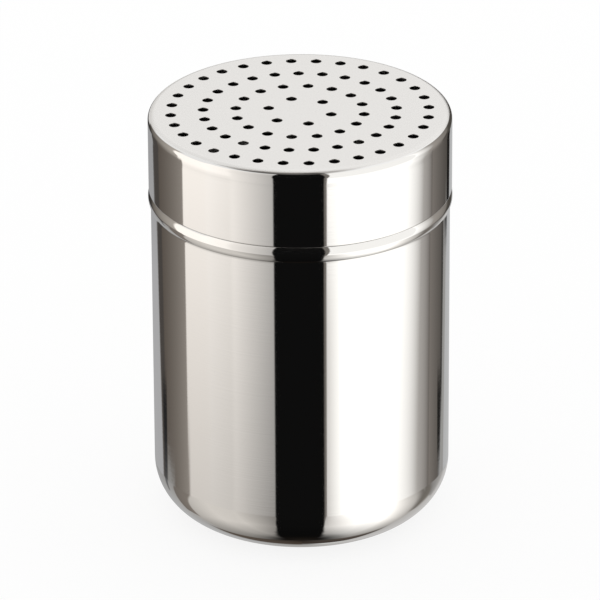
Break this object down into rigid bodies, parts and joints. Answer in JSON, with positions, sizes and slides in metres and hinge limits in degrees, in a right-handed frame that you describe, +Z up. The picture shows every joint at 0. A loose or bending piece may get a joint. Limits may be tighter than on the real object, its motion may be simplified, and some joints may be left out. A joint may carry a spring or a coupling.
{
  "type": "parmesan shaker",
  "caption": "Round stainless steel table shaker for grated cheese: a drawn cup with a rounded base and a bead below its neck, and a perforated push-on lid.",
  "frame": {"origin": "centre of the flat base, on the surface the shaker stands on", "axes": "+Z up along the shaker's axis, from the base to the perforated lid; +X to the right and +Y away in the pictured view"},
  "size_m": [0.0702, 0.0702, 0.0996],
  "materials": {
    "cup_steel": "mirror-polished stainless steel, drawn",
    "lid_steel": "polished stainless steel, drawn and punched, with a satin top face"
  },
  "bodies": {
    "cup": {"cup": "cup_steel"},
    "lid": {"perforated_lid": "lid_steel"}
  },
  "joints": [
    {"name": "lid_lift", "type": "slide", "parent": "cup", "child": "lid", "axis": [0, 0, 1], "range_m": [0, 0.045]}
  ]
}
